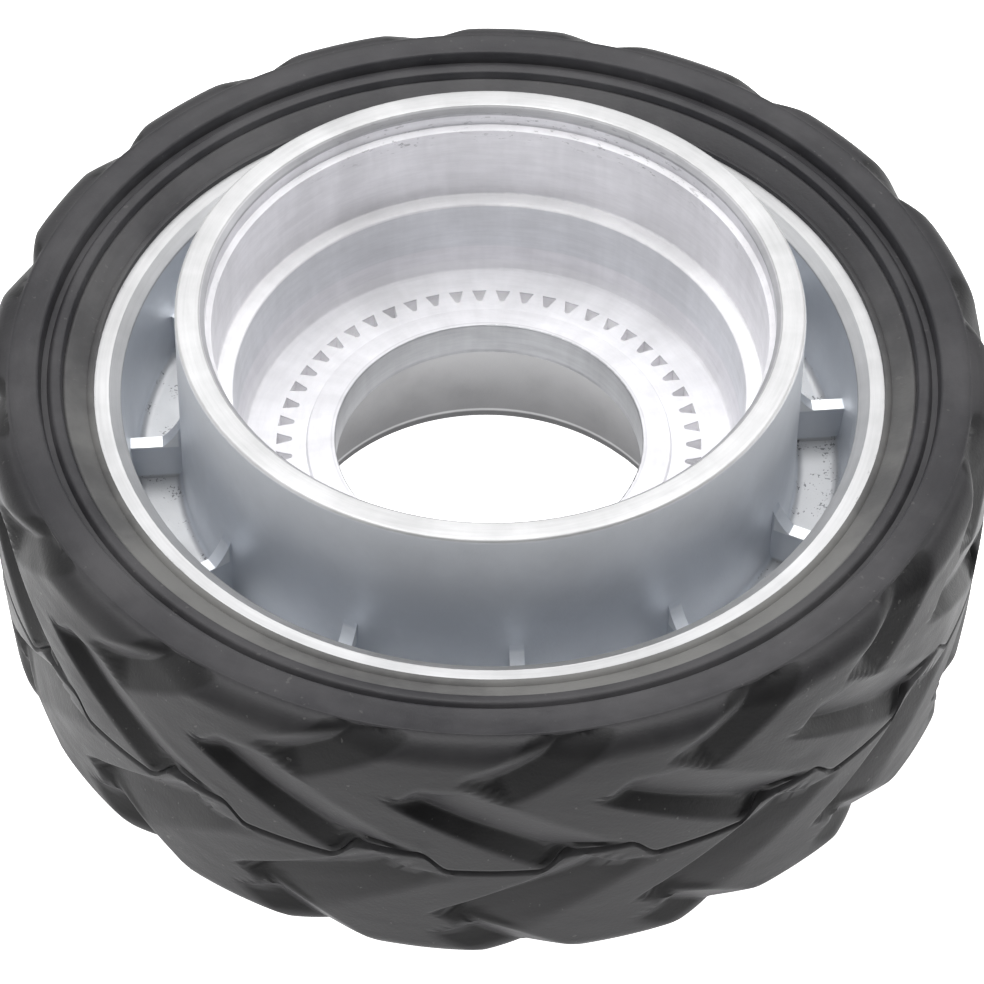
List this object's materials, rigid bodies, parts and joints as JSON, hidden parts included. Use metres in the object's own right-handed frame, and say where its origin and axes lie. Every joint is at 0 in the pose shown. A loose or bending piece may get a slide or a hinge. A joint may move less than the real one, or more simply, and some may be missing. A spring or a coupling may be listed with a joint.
{
  "type": "jockey wheel",
  "caption": "Wheel with a solid rubber tyre in a chevron tread, bonded on a ribbed cast aluminium hub with a machined drum, a ring of tooth pockets and an open bore.",
  "frame": {"origin": "on the wheel's axis, in the plane of the lower sidewall that the wheel rests on", "axes": "+Z along the wheel's axis towards the open end of the drum, +X to the right of the picture's view"},
  "size_m": [0.23, 0.23, 0.0899],
  "materials": {
    "tyre_rubber": "matte moulded rubber, slightly dusty grey",
    "cast_aluminium": "as cast outside, turned bright on the lands and in the drum"
  },
  "bodies": {
    "root": {"tyre": "tyre_rubber", "wheel_hub": "cast_aluminium"}
  },
  "joints": []
}
